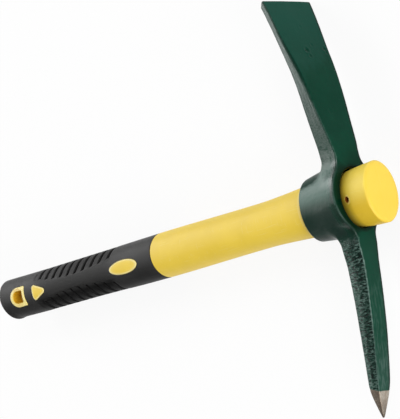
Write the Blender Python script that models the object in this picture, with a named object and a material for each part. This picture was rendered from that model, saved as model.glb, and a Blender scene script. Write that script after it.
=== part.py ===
"""A short mattock: a forged head on a jacketed fibreglass handle, lying on its side.

The handle runs along X with its flared cap at the +X end. The head runs along Y, with the adze
blade toward +Y and the pick toward -Y. Every section is worked out from the centre of the eye's
outer face, and the finished tool is then moved so that the origin is the middle of its footprint
on the surface that it lies on. Sizes are in millimetres, and MM turns them into metres. A section
is the full length along Y and the full width along Z of an oval.
"""
import math

import bmesh
import bpy
from mathutils import Vector

MM = 0.001

# Fits
CLEARANCE = 0.3
EYE_SLACK = 0.9

# Handle, measured along X from the eye's outer face
CAP_LENGTH = 19.6
BUTT_DISTANCE = 370.0
GRIP_EDGE_DISTANCE = 184.4
FLARE_START_DISTANCE = 80.0
EYE_SECTION = (37.9, 33.6)
CAP_FLARE = (3.5, 1.4)
COLLAR_SECTION = (35.8, 29.0)
NECK_SECTION = (31.4, 28.8)
GRIP_EDGE_SECTION = (33.2, 30.8)
FLARE_POWER = 1.5
CAP_EDGE_RADIUS = 1.4

# Rubber grip
GRIP_WAIST_SECTION = (32.9, 30.3)
GRIP_WAIST_DISTANCE = 280.0
RUBBER_THICKNESS = 2.6
BUTT_WALL = 4.0
BUTT_RADIUS = 4.2
BUTT_STEPS = 5
GRIP_EDGE_RADIUS = 0.6
GROOVE_COUNT = 10
GROOVE_PITCH = 9.3
GROOVE_WIDTH = 3.4
GROOVE_FLOOR_WIDTH = 1.8
GROOVE_DEPTH = 1.1
GROOVE_LEAN = 4.2
BAND_FROM_GRIP_EDGE = 47.9
BAND_SPINE = 5.0
BAND_END_SPINE = 8.8
RIB_END_SLOPE = 2.0
LEAN_FADE = 28.0

# Windows through the grip, filled by bosses of the jacket
BOSS_PROUD = 0.2
HANG_D_LENGTH = 18.0
HANG_D_WIDTH = 16.5
HANG_D_FROM_BUTT = 25.8
HANG_D_CORNER = 1.2
HANG_HOLE_LENGTH = 10.8
HANG_HOLE_WIDTH = 9.1
FUNNEL_DEPTH = 3.6
FUNNEL_WIDENING = 1.5
CUTTER_OVERRUN = 2.0
ARROW_LENGTH = 15.0
ARROW_WIDTH = 11.6
ARROW_FROM_D = 26.3
ARROW_CORNER = 2.0
OVAL_LENGTH = 30.6
OVAL_WIDTH = 10.6
OVAL_FROM_GRIP_EDGE = 31.8

# Fibreglass core
CORE_SECTION = (20.0, 17.0)
CORE_END_COVER = 7.6
CORE_TO_HANG_HOLE = 8.8
CORE_CHAMFER = 1.0
PIN_HOLE_DIAMETER = 3.9
PIN_HOLE_DISTANCE = 3.4

# Eye and collar of the head
COLLAR_DEPTH = 36.8
COLLAR_WALL = (2.95, 2.4)
COLLAR_EDGE_RADIUS = 0.8
EYE_WALL = (5.2, 8.4)
EYE_FACE_SHIFT = 1.2
EYE_FACE_PROUD = 0.3
EYE_EDGE_RADIUS = 1.4
EYE_MOUTH_CHAMFER = 1.2

# Arms of the head, measured along Y from the middle of the eye
BLADE_REACH = 140.2
BLADE_DROP = 19.3
BLADE_CURVE_START = 25.0
BLADE_CURVE_POWER = 1.6
BLADE_EDGE_WIDTH = 49.6
BLADE_NECK_FROM_EYE = 8.1
BLADE_NECK_WIDTH = 25.3
BLADE_FLARE_POWER = 0.84
BLADE_NECK_THICKNESS = 13.0
BLADE_THICKNESS = 4.0
BLADE_THINNING_POWER = 1.2
BLADE_THIN_LENGTH = 21.4
BEVEL_LENGTH = 3.6
EDGE_THICKNESS = 1.2
PICK_REACH = 142.7
PICK_DROP = 20.3
PICK_CURVE_START = 18.0
PICK_CURVE_POWER = 1.6
PICK_ROOT_WIDTH = 20.8
PICK_ROOT_LENGTH = 20.0
PICK_WIDTH = 16.9
PICK_END_WIDTH = 14.3
PICK_SLIMMING_POWER = 3.0
PICK_ROOT_THICKNESS = 15.2
PICK_END_THICKNESS = 8.2
PICK_THINNING_POWER = 1.3
POINT_LENGTH = 24.0
POINT_FLAT = 0.9
POINT_DROP = 1.4
POINT_OGIVE = 1.45
ARM_CORNER = 1.0
BLADE_SHOULDER = 2.8
BLADE_SHOULDER_REACH = 84.0
BLADE_SHOULDER_LENGTH = 34.0
PARTING_CROWN = 0.6
ROOT_FILLET = 5.0
ROOT_SIDE_GAIN = 0.4
ROOT_INNER_GAIN = 0.5
ROOT_OVERLAP = 2.0

# Sizes and places that follow from the ones above
ROOM_IN_EYE = (2 * CLEARANCE + EYE_SLACK, 2 * CLEARANCE)
CAP_SECTION = tuple(EYE_SECTION[i] + CAP_FLARE[i] for i in range(2))
EYE_FACE_SECTION = tuple(EYE_SECTION[i] + ROOM_IN_EYE[i] + 2 * EYE_WALL[i] for i in range(2))
COLLAR_RIM_SECTION = tuple(COLLAR_SECTION[i] + ROOM_IN_EYE[i] + 2 * COLLAR_WALL[i] for i in range(2))
BLADE_NECK_REACH = EYE_FACE_SECTION[0] / 2 + BLADE_NECK_FROM_EYE
FIRST_GROOVE_DISTANCE = GRIP_EDGE_DISTANCE + BAND_FROM_GRIP_EDGE
OVAL_DISTANCE = GRIP_EDGE_DISTANCE + OVAL_FROM_GRIP_EDGE
HANG_D_DISTANCE = BUTT_DISTANCE - HANG_D_FROM_BUTT
ARROW_DISTANCE = HANG_D_DISTANCE - ARROW_FROM_D
CORE_BUTT_DISTANCE = HANG_D_DISTANCE - HANG_HOLE_LENGTH / 2 - CORE_TO_HANG_HOLE
CORE_CAP_DISTANCE = CAP_LENGTH - CORE_END_COVER

AROUND = 48


def blend(start, end, share):
    return start + (end - start) * share


def ease(share):
    share = min(max(share, 0.0), 1.0)
    return share * share * (3 - 2 * share)


def spread(start, end, count):
    """Evenly spaced values from start to end, both included."""
    return [blend(start, end, i / (count - 1)) for i in range(count)]


def blend_section(start, end, share):
    """Half length and half width of the oval that lies between two full-size sections."""
    return tuple(blend(a, b, share) / 2 for a, b in zip(start, end))


def handle_half_sizes(x):
    """Half length (Y) and half width (Z) of the jacket's outside at x, from the shoulder to the cap."""
    if x >= 0:
        return blend_section(EYE_SECTION, CAP_SECTION, x / CAP_LENGTH)
    if x >= -COLLAR_DEPTH:
        return blend_section(EYE_SECTION, COLLAR_SECTION, -x / COLLAR_DEPTH)
    if x >= -FLARE_START_DISTANCE:
        share = (x + FLARE_START_DISTANCE) / (FLARE_START_DISTANCE - COLLAR_DEPTH)
        return blend_section(NECK_SECTION, COLLAR_SECTION, share ** FLARE_POWER)
    share = (-x - FLARE_START_DISTANCE) / (GRIP_EDGE_DISTANCE - FLARE_START_DISTANCE)
    return blend_section(NECK_SECTION, GRIP_EDGE_SECTION, ease(share))


def grip_half_sizes(x, inset=0.0):
    """Half length and half width of the plain grip at x, with a rounded butt, drawn in by inset."""
    share = (-x - GRIP_EDGE_DISTANCE) / (GRIP_WAIST_DISTANCE - GRIP_EDGE_DISTANCE)
    half_length, half_width = blend_section(GRIP_EDGE_SECTION, GRIP_WAIST_SECTION, ease(share))
    radius = BUTT_RADIUS
    into_round = radius - (BUTT_DISTANCE + x)
    if into_round > 0:
        drawn_in = radius - math.sqrt(max(radius ** 2 - into_round ** 2, 0.0))
        half_length -= drawn_in
        half_width -= drawn_in
    return half_length - inset, half_width - inset


def oval(x, half_sizes, count=AROUND, shift=0.0):
    """Points of an oval ring that stands across the handle at x."""
    half_length, half_width = half_sizes
    angles = [2 * math.pi * i / count for i in range(count)]
    return [(x, shift + half_length * math.cos(a), half_width * math.sin(a)) for a in angles]


def solid_from_rings(name, rings):
    """A closed solid through a row of rings that have the same number of points."""
    shell = bmesh.new()
    rows = [[shell.verts.new(Vector(point) * MM) for point in ring] for ring in rings]
    for low, high in zip(rows, rows[1:]):
        for i in range(len(low)):
            j = (i + 1) % len(low)
            shell.faces.new((low[i], low[j], high[j], high[i]))
    shell.faces.new(rows[0][::-1])
    shell.faces.new(rows[-1])
    bmesh.ops.recalc_face_normals(shell, faces=shell.faces)
    mesh = bpy.data.meshes.new(name)
    shell.to_mesh(mesh)
    shell.free()
    mesh.shade_smooth()
    mesh.set_sharp_from_angle(angle=math.radians(32))
    part = bpy.data.objects.new(name, mesh)
    bpy.context.scene.collection.objects.link(part)
    return part


def combine(part, helper, operation):
    """Joins, cuts or trims a part with a helper solid, which then only shows as a wire."""
    step = part.modifiers.new(helper.name, "BOOLEAN")
    step.operation = operation
    step.solver = "EXACT"
    step.object = helper
    helper.hide_render = True
    helper.display_type = "WIRE"


def rounded_outline(corners, steps=5):
    """Outline through (x, y, radius) corners, listed anticlockwise, with an arc at each corner."""
    points = []
    for i, (x, y, radius) in enumerate(corners):
        corner = Vector((x, y))
        before = (Vector(corners[i - 1][:2]) - corner).normalized()
        after = (Vector(corners[(i + 1) % len(corners)][:2]) - corner).normalized()
        half_angle = before.angle(after) / 2
        centre = corner + (before + after).normalized() * radius / math.sin(half_angle)
        start = corner + before * radius / math.tan(half_angle) - centre
        turn = math.pi - 2 * half_angle
        for step in range(steps):
            angle = turn * step / (steps - 1)
            cos_a, sin_a = math.cos(angle), math.sin(angle)
            offset = Vector((start.x * cos_a - start.y * sin_a, start.x * sin_a + start.y * cos_a))
            points.append(centre + offset)
    return points


def prism(name, outline, low, high):
    """A straight solid of the given (x, y) outline between two heights."""
    return solid_from_rings(name, [[(p.x, p.y, z) for p in outline] for z in (low, high)])


def hang_d_outline(length, width, grow=0.0):
    """A D with its straight side toward the head and a round side toward the butt."""
    flat_side = -HANG_D_DISTANCE + length / 2 + grow
    round_side = -HANG_D_DISTANCE - length / 2 - grow
    half = width / 2 + grow
    sharp = HANG_D_CORNER + grow
    full = min(half, length / 2 + grow) - CLEARANCE
    return rounded_outline([(flat_side, half, sharp), (round_side, half, full),
                            (round_side, -half, full), (flat_side, -half, sharp)])


def arrow_outline(grow=0.0):
    """A rounded triangle that points along the handle toward the head."""
    base = -ARROW_DISTANCE - ARROW_LENGTH / 2
    half_tip_angle = math.atan(ARROW_WIDTH / 2 / ARROW_LENGTH)
    rounded_off = ARROW_CORNER * (1 / math.sin(half_tip_angle) - 1)
    tip = base + ARROW_LENGTH + rounded_off + grow / math.sin(half_tip_angle)
    half = (tip - base + grow) * math.tan(half_tip_angle)
    corner = ARROW_CORNER + grow
    return rounded_outline([(base - grow, -half, corner), (tip, 0.0, corner), (base - grow, half, corner)])


def oval_outline(grow=0.0):
    points = []
    for i in range(32):
        angle = 2 * math.pi * i / 32
        x = -OVAL_DISTANCE + (OVAL_LENGTH / 2 + grow) * math.cos(angle)
        points.append(Vector((x, (OVAL_WIDTH / 2 + grow) * math.sin(angle))))
    return points


def groove_stations():
    """Places along the band as (x, depth): in and out of each groove, with plain rubber between."""
    places = []
    for i in range(GROOVE_COUNT):
        middle = -FIRST_GROOVE_DISTANCE - i * GROOVE_PITCH
        places += [(middle + GROOVE_WIDTH / 2, 0.0), (middle + GROOVE_FLOOR_WIDTH / 2, GROOVE_DEPTH),
                   (middle - GROOVE_FLOOR_WIDTH / 2, GROOVE_DEPTH), (middle - GROOVE_WIDTH / 2, 0.0)]
    return places


def grip_ring(x, depth):
    """A ring of the grip's outside. Inside the bands it leans with the grooves and sinks by depth."""
    band_start = -FIRST_GROOVE_DISTANCE + GROOVE_WIDTH
    band_end = -FIRST_GROOVE_DISTANCE - (GROOVE_COUNT - 1) * GROOVE_PITCH - GROOVE_WIDTH
    outside = max(x - band_start, band_end - x, 0.0)
    lean_share = 1 - ease(outside / LEAN_FADE)
    along = min(abs(2 * (x - band_start) / (band_end - band_start) - 1), 1.0)
    spine = blend(BAND_SPINE, BAND_END_SPINE, along ** 2)
    half_length, half_width = grip_half_sizes(x)
    ring = []
    for px, y, z in oval(x, (half_length, half_width)):
        lean = GROOVE_LEAN * lean_share * max(abs(y) - BAND_SPINE, 0.0) / (half_length - BAND_SPINE)
        sink = 1 - depth * ease((abs(y) - spine) / RIB_END_SLOPE) / half_length
        ring.append((px + lean, y * sink, z * sink))
    return ring


def grip_rings():
    """Rings of the grip's outside from its open edge to the butt."""
    edge = -GRIP_EDGE_DISTANCE
    band_start = -FIRST_GROOVE_DISTANCE + 3 * GROOVE_PITCH
    band_end = -FIRST_GROOVE_DISTANCE - (GROOVE_COUNT + 1.5) * GROOVE_PITCH
    stations = [(edge - GRIP_EDGE_RADIUS, 0.0)]
    stations += [(x, 0.0) for x in spread(edge - 6, band_start, 3)]
    stations += [(x, 0.0) for x in spread(band_start, -FIRST_GROOVE_DISTANCE + GROOVE_PITCH, 3)[1:]]
    stations += groove_stations()
    last = -FIRST_GROOVE_DISTANCE - GROOVE_COUNT * GROOVE_PITCH
    stations += [(x, 0.0) for x in spread(last, band_end - GROOVE_PITCH, 4)]
    round_start = -BUTT_DISTANCE + BUTT_RADIUS
    stations += [(x, 0.0) for x in spread(band_end - GROOVE_PITCH, round_start, 4)[1:]]
    half_length, half_width = grip_half_sizes(edge, GRIP_EDGE_RADIUS)
    rings = [oval(edge, (half_length, half_width))]
    rings += [grip_ring(x, depth) for x, depth in stations]
    for step in range(1, BUTT_STEPS + 1):
        angle = math.pi / 2 * step / (BUTT_STEPS + 0.5)
        x = round_start - BUTT_RADIUS * math.sin(angle)
        rings.append(oval(x, grip_half_sizes(x)))
    return rings


def jacket_under_grip(x, extra=0.0):
    """Half sizes of the jacket where rubber covers it."""
    return grip_half_sizes(x, RUBBER_THICKNESS + CLEARANCE / 2 - extra)


def core_rings(grow):
    """Rings of the core's plain rod, or of the space round it when grow is the clearance."""
    half = tuple(size / 2 + grow for size in CORE_SECTION)
    small = tuple(size - CORE_CHAMFER for size in half)
    butt, cap = -CORE_BUTT_DISTANCE - grow, CORE_CAP_DISTANCE + grow
    return [oval(butt, small, 32), oval(butt + CORE_CHAMFER, half, 32),
            oval(cap - CORE_CHAMFER, half, 32), oval(cap, small, 32)]


def make_core():
    return solid_from_rings("fibreglass_core", core_rings(0.0))


def make_grip():
    """Rubber sleeve over the hand end of the jacket, closed over the butt, with windows on both sides."""
    grip = solid_from_rings("rubber_grip", grip_rings())
    inner_end = -BUTT_DISTANCE + BUTT_WALL
    places = [-GRIP_EDGE_DISTANCE + CUTTER_OVERRUN] + spread(-GRIP_EDGE_DISTANCE, -GRIP_WAIST_DISTANCE, 5)
    places += [inner_end + BUTT_WALL, inner_end]
    rings = [oval(x, jacket_under_grip(x, CLEARANCE)) for x in places]
    combine(grip, solid_from_rings("grip_bore_cutter", rings), "DIFFERENCE")
    reach = GRIP_EDGE_SECTION[1]
    windows = {"hang_window_cutter": hang_d_outline(HANG_D_LENGTH, HANG_D_WIDTH, CLEARANCE),
               "arrow_window_cutter": arrow_outline(CLEARANCE),
               "oval_window_cutter": oval_outline(CLEARANCE)}
    for name, outline in windows.items():
        combine(grip, prism(name, outline, -reach, reach), "DIFFERENCE")
    return grip


def jacket_rings():
    """Rings of the jacket's outside, from its covered butt end to the flat end of the cap."""
    covered_end = -BUTT_DISTANCE + BUTT_WALL + CLEARANCE
    shoulder = -GRIP_EDGE_DISTANCE + CLEARANCE
    rings = [oval(x, jacket_under_grip(x)) for x in [covered_end, covered_end + BUTT_WALL]]
    covered = spread(-GRIP_WAIST_DISTANCE, -GRIP_EDGE_DISTANCE, 5)
    rings += [oval(x, jacket_under_grip(x)) for x in covered[:-1]]
    rings.append(oval(shoulder, jacket_under_grip(-GRIP_EDGE_DISTANCE)))
    rings.append(oval(shoulder, handle_half_sizes(shoulder)))
    rings += [oval(x, handle_half_sizes(x)) for x in spread(shoulder, -FLARE_START_DISTANCE, 5)[1:]]
    rings += [oval(x, handle_half_sizes(x)) for x in spread(-FLARE_START_DISTANCE, -COLLAR_DEPTH, 6)[1:]]
    rings.append(oval(0.0, handle_half_sizes(0.0)))
    edge_start = CAP_LENGTH - CAP_EDGE_RADIUS
    rings.append(oval(edge_start, handle_half_sizes(edge_start)))
    half_sizes = handle_half_sizes(CAP_LENGTH)
    for angle in spread(0.0, math.pi / 2, 5)[1:]:
        drawn_in = CAP_EDGE_RADIUS * (1 - math.cos(angle))
        x = edge_start + CAP_EDGE_RADIUS * math.sin(angle)
        rings.append(oval(x, tuple(size - drawn_in for size in half_sizes)))
    return rings


def make_boss(name, outline):
    """A boss that stands through both faces of the grip, with its top following the grip's surface."""
    reach = GRIP_EDGE_SECTION[1]
    boss = prism(name, outline, -reach, reach)
    places = spread(-GRIP_EDGE_DISTANCE, -GRIP_WAIST_DISTANCE, 5) + [-BUTT_DISTANCE + BUTT_RADIUS]
    rings = [oval(x, grip_half_sizes(x, -BOSS_PROUD)) for x in places]
    combine(boss, solid_from_rings(name + "_top_cutter", rings), "INTERSECT")
    return boss


def make_jacket():
    """Plastic jacket moulded over the core. It fills the eye, flares into the cap and lines the hang hole."""
    jacket = solid_from_rings("handle_jacket", jacket_rings())
    combine(jacket, make_boss("hang_boss", hang_d_outline(HANG_D_LENGTH, HANG_D_WIDTH)), "UNION")
    combine(jacket, make_boss("arrow_boss", arrow_outline()), "UNION")
    combine(jacket, make_boss("oval_boss", oval_outline()), "UNION")
    combine(jacket, solid_from_rings("core_cutter", core_rings(CLEARANCE)), "DIFFERENCE")
    hole = hang_d_outline(HANG_HOLE_LENGTH, HANG_HOLE_WIDTH)
    reach = GRIP_EDGE_SECTION[1]
    combine(jacket, prism("hang_hole_cutter", hole, -reach, reach), "DIFFERENCE")
    surface = grip_half_sizes(-HANG_D_DISTANCE, -BOSS_PROUD)[1]
    overrun_widening = FUNNEL_WIDENING * (1 + CUTTER_OVERRUN / FUNNEL_DEPTH)
    levels = ((surface - FUNNEL_DEPTH, 0.0), (surface + CUTTER_OVERRUN, overrun_widening))
    for side, label in ((1, "near"), (-1, "far")):
        rings = []
        for height, grow in levels:
            outline = hang_d_outline(HANG_HOLE_LENGTH, HANG_HOLE_WIDTH, grow)
            rings.append([(p.x, p.y, side * height) for p in outline])
        combine(jacket, solid_from_rings("funnel_cutter_" + label, rings), "DIFFERENCE")
    combine(jacket, make_pin_hole(), "DIFFERENCE")
    return jacket


def make_pin_hole():
    """Hole that the core's locating pin leaves in the side of the cap. It opens the core's space."""
    radius = PIN_HOLE_DIAMETER / 2
    top = EYE_SECTION[1]
    rings = []
    for z in (CORE_SECTION[1] / 4, top):
        angles = [2 * math.pi * i / 16 for i in range(16)]
        rings.append([(PIN_HOLE_DISTANCE + radius * math.cos(a), radius * math.sin(a), z) for a in angles])
    return solid_from_rings("pin_hole_cutter", rings)


def arm_section(y):
    """Outer face, thickness and half width of the head's arms at y, with the edge and point drawn in."""
    if y >= 0:
        share = max(y - BLADE_CURVE_START, 0.0) / (BLADE_REACH - BLADE_CURVE_START)
        face = -BLADE_DROP * share ** BLADE_CURVE_POWER
        flare_share = max(y - BLADE_NECK_REACH, 0.0) / (BLADE_REACH - BLADE_NECK_REACH)
        half_width = blend(BLADE_NECK_WIDTH, BLADE_EDGE_WIDTH, flare_share ** BLADE_FLARE_POWER) / 2
        full_thin = BLADE_REACH - BLADE_THIN_LENGTH
        thin_share = min(max((full_thin - y) / (full_thin - BLADE_NECK_REACH), 0.0), 1.0)
        thickness = blend(BLADE_THICKNESS, BLADE_NECK_THICKNESS, thin_share ** BLADE_THINNING_POWER)
        bevel = max(y - BLADE_REACH + BEVEL_LENGTH, 0.0) / BEVEL_LENGTH
        return face, blend(thickness, EDGE_THICKNESS, bevel), half_width
    share = max(-y - PICK_CURVE_START, 0.0) / (PICK_REACH - PICK_CURVE_START)
    face = -PICK_DROP * share ** PICK_CURVE_POWER
    root, ground = EYE_FACE_SECTION[0] / 2, PICK_REACH - POINT_LENGTH
    slim_share = min(max((-y - root) / (ground - root), 0.0), 1.0)
    half_width = blend(PICK_WIDTH, PICK_END_WIDTH, slim_share ** PICK_SLIMMING_POWER) / 2
    half_width += (PICK_ROOT_WIDTH - PICK_WIDTH) / 2 * (1 - ease((-y - root) / PICK_ROOT_LENGTH))
    thickness = blend(PICK_ROOT_THICKNESS, PICK_END_THICKNESS, slim_share ** PICK_THINNING_POWER)
    point_share = max((-y - ground) / POINT_LENGTH, 0.0)
    face -= POINT_DROP * point_share ** 2
    keep = 1 - point_share ** POINT_OGIVE
    return face, blend(POINT_FLAT, thickness, keep), blend(POINT_FLAT, 2 * half_width, keep) / 2


def arm_ring(y):
    """A rounded box section of the arms at y. Its sides swell to the forging's parting line."""
    face, thickness, half_width = arm_section(y)
    wall = EYE_FACE_SECTION[0] / 2 - ROOT_OVERLAP
    into_root = max(ROOT_FILLET - (abs(y) - wall), 0.0)
    into_root = min(into_root, ROOT_FILLET)
    fillet = ROOT_FILLET - math.sqrt(ROOT_FILLET ** 2 - into_root ** 2)
    half_width += fillet * ROOT_SIDE_GAIN
    thickness += fillet * ROOT_INNER_GAIN
    inner = face - thickness
    off_shoulder = abs(y - BLADE_SHOULDER_REACH) / BLADE_SHOULDER_LENGTH
    corner = blend(ARM_CORNER, BLADE_SHOULDER, 1 - ease(off_shoulder))
    radius = min(corner, thickness / 3, half_width / 3)
    crown = PARTING_CROWN * min(thickness / PICK_ROOT_THICKNESS, 1.0)
    middle = (face + inner) / 2
    points = []
    corners = [(face - radius, half_width - radius, 0), (inner + radius, half_width - radius, 1),
               (inner + radius, -half_width + radius, 2), (face - radius, -half_width + radius, 3)]
    for x, z, quarter in corners:
        for step in range(3):
            angle = math.pi / 2 * (quarter + step / 2)
            points.append((x + radius * math.cos(angle), y, z + radius * math.sin(angle)))
        if quarter == 0:
            points.append((middle, y, half_width + crown))
        if quarter == 2:
            points.append((middle, y, -half_width - crown))
    return points


def make_head():
    """One forging: adze blade, eye with its drafted collar, and square pick."""
    wall = EYE_FACE_SECTION[0] / 2 - ROOT_OVERLAP
    ground = PICK_REACH - POINT_LENGTH
    places = spread(-PICK_REACH, -ground, 7) + spread(-ground, -wall - ROOT_FILLET, 10)[1:]
    places += spread(-wall - ROOT_FILLET, -wall, 5)[1:] + spread(-wall, wall, 4)[1:-1]
    places += spread(wall, wall + ROOT_FILLET, 5)
    places += spread(wall + ROOT_FILLET, BLADE_REACH - BEVEL_LENGTH, 12)[1:] + [BLADE_REACH]
    head = solid_from_rings("head", [arm_ring(y) for y in places])
    top = EYE_FACE_PROUD
    drop = EYE_EDGE_RADIUS
    face = tuple(size / 2 for size in EYE_FACE_SECTION)
    rim = tuple(size / 2 for size in COLLAR_RIM_SECTION)
    rim_top = -COLLAR_DEPTH + COLLAR_EDGE_RADIUS
    rings = [oval(-COLLAR_DEPTH, tuple(size - COLLAR_EDGE_RADIUS for size in rim)), oval(rim_top, rim)]
    for x in spread(rim_top, top - drop, 6)[1:]:
        share = (x - rim_top) / (top - rim_top)
        half_sizes = blend_section(COLLAR_RIM_SECTION, EYE_FACE_SECTION, share)
        rings.append(oval(x, half_sizes, shift=EYE_FACE_SHIFT * share))
    for angle in (math.pi / 4, math.pi / 2):
        drawn_in = drop * (1 - math.cos(angle))
        x = top - drop + drop * math.sin(angle)
        rings.append(oval(x, tuple(size - drawn_in for size in face), shift=EYE_FACE_SHIFT))
    combine(head, solid_from_rings("collar_body", rings), "UNION")
    combine(head, make_eye_bore(top), "DIFFERENCE")
    return head


def make_eye_bore(top):
    """The eye's tapered hole: the jacket's own taper and clearance, with slack toward the blade."""
    slack = EYE_SLACK / 2
    levels = ((-COLLAR_DEPTH - CUTTER_OVERRUN, 0.0), (-COLLAR_DEPTH, 0.0), (top - EYE_MOUTH_CHAMFER, 0.0),
              (top + CUTTER_OVERRUN, EYE_MOUTH_CHAMFER + CUTTER_OVERRUN))
    rings = []
    for x, extra in levels:
        share = min(-x / COLLAR_DEPTH, 1.0)
        half_length, half_width = blend_section(EYE_SECTION, COLLAR_SECTION, share)
        grow = CLEARANCE + extra
        rings.append(oval(x, (half_length + grow + slack, half_width + grow), shift=slack))
    return solid_from_rings("eye_bore_cutter", rings)


def set_material(part, colour, roughness, metallic=0.0):
    material = bpy.data.materials.new(part.name)
    material.use_nodes = True
    shader = material.node_tree.nodes["Principled BSDF"]
    shader.inputs["Base Color"].default_value = (*colour, 1.0)
    shader.inputs["Roughness"].default_value = roughness
    shader.inputs["Metallic"].default_value = metallic
    part.data.materials.append(material)


def world_bounds(parts):
    """Lowest and highest corner of the finished parts."""
    scene_state = bpy.context.evaluated_depsgraph_get()
    corners = []
    for part in parts:
        finished = part.evaluated_get(scene_state)
        corners += [finished.matrix_world @ vertex.co for vertex in finished.data.vertices]
    low = Vector([min(corner[i] for corner in corners) for i in range(3)])
    high = Vector([max(corner[i] for corner in corners) for i in range(3)])
    return low, high


def lay_down(parts):
    """Hangs everything on one empty and moves it, so that the origin is at the footprint's middle."""
    low, high = world_bounds(parts)
    frame = bpy.data.objects.new("mattock_frame", None)
    for shape in list(bpy.context.scene.collection.objects):
        shape.parent = frame
    bpy.context.scene.collection.objects.link(frame)
    frame.location = (-(low.x + high.x) / 2, -(low.y + high.y) / 2, -low.z)
    print("eye centre at", [round(value, 6) for value in frame.location])
    print("size", [round(value, 6) for value in high - low])


def build():
    for existing in list(bpy.data.objects):
        bpy.data.objects.remove(existing)
    head, core, jacket, grip = make_head(), make_core(), make_jacket(), make_grip()
    set_material(head, (0.012, 0.062, 0.040), 0.32, 0.0)
    set_material(core, (0.62, 0.60, 0.50), 0.55)
    set_material(jacket, (0.90, 0.62, 0.11), 0.36)
    set_material(grip, (0.030, 0.030, 0.031), 0.62)
    lay_down([head, core, jacket, grip])


build()
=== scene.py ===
import math

import bmesh
import bpy
import numpy as np
from mathutils import Matrix, Vector, noise


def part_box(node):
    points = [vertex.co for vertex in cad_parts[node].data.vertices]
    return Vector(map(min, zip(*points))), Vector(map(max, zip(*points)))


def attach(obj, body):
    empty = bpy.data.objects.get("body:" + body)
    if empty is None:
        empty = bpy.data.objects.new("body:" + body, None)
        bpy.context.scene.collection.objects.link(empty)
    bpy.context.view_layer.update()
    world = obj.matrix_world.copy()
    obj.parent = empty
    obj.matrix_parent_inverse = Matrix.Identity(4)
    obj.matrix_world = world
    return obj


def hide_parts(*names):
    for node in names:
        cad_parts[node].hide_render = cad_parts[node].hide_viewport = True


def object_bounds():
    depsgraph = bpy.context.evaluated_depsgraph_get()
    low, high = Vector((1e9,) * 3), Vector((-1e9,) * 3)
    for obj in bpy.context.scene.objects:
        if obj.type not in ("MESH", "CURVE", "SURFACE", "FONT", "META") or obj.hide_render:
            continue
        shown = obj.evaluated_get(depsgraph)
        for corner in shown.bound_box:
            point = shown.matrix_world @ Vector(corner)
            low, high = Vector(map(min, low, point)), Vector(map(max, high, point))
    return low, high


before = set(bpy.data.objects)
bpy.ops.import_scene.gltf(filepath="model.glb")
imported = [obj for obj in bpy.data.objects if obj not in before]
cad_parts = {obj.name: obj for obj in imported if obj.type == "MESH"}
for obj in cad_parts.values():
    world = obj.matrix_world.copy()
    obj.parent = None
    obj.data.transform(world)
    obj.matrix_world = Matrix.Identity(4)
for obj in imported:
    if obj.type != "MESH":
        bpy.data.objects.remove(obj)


# The head: one steel forging with an adze blade, an eye with a drafted collar, and a square pick.
# It is drop forged between two dies, so its sides swell to a parting line. It is sprayed dark
# green all over, and then the last 18 mm of the pick is ground bare to a point.
MM = 0.001
cad_low, cad_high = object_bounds()
jacket_low, jacket_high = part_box("handle_jacket")
CAP_LENGTH = 19.6
EYE = np.array([jacket_high.x / MM - CAP_LENGTH,
                (jacket_low.y + jacket_high.y) / 2 / MM, (jacket_low.z + jacket_high.z) / 2 / MM])
COLLAR_DEPTH, COLLAR_BULGE, FACE_PROUD, FACE_SHIFT = 36.4, 0.55, 0.3, 1.2
COLLAR_RIM, EYE_FACE, PICK_SIDE_ROUNDNESS = (21.6, 17.2), (24.9, 25.5), 1.83
BORE_IN_EYE, BORE_IN_COLLAR, BORE_SHIFT = (19.7, 17.1), (18.65, 14.8), 0.45
EYE_EDGE_RADIUS, COLLAR_EDGE_RADIUS, BORE_EDGE_RADIUS, MOUTH_CHAMFER = 1.4, 0.8, 0.35, 1.2
FACE_FILLET, INNER_FILLET = 5.5, 11.0
ARM_CURVE, ARM_CORNER, INNER_CORNER = 1.6, 0.7, 0.6
PARTING_DEPTH, BLADE_CROWN, PICK_CROWN = 0.48, 0.15, 0.95
BLADE_REACH, BLADE_DROP, BLADE_CURVE_START = 140.2, 19.3, 25.0
BLADE_NECK_REACH, BLADE_NECK, BLADE_EDGE, BLADE_FLARE, BLADE_BOW = 33.0, 25.3, 49.6, 0.84, 0.055
BLADE_ROOT, BLADE_THIN, BLADE_THIN_LENGTH = 13.0, 4.3, 21.4
WAVE_HEIGHT, WAVE_SINK, WAVE_LENGTH, WAVE_HOLLOW = 0.42, 0.15, 57.0, 56.0
SHOULDER, SHOULDER_HALF, SHOULDER_FADE, SHOULDER_CORNER = 90.0, 4.0, 32.0, 2.0
BEVEL_LENGTH, BEVEL_EDGE, EDGE_BOW, EDGE_CORNER = 4.2, 1.2, 0.3, 0.8
PICK_REACH, PICK_DROP, PICK_CURVE_START = 142.7, 20.3, 18.0
PICK_ROOT_WIDTH, PICK_WIDTH, PICK_END_WIDTH, PICK_ROOT_FADE = 20.0, 16.4, 13.9, 20.0
PICK_ROOT_THICKNESS, PICK_END_THICKNESS = 15.2, 8.2
POINT_LENGTH, POINT_ROUNDING, POINT_DIP, POINT_FLAT, POINT_EDGE = 24.0, 1.45, 1.4, 0.9, 0.4
BARE_LENGTH, SKIN_STEP = 17.8, 0.64


def ease(share):
    share = np.clip(share, 0.0, 1.0)
    return share * share * (3 - 2 * share)


def blend(start, end, share):
    start = np.asarray(start)
    return start + (np.asarray(end) - start) * share


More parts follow.
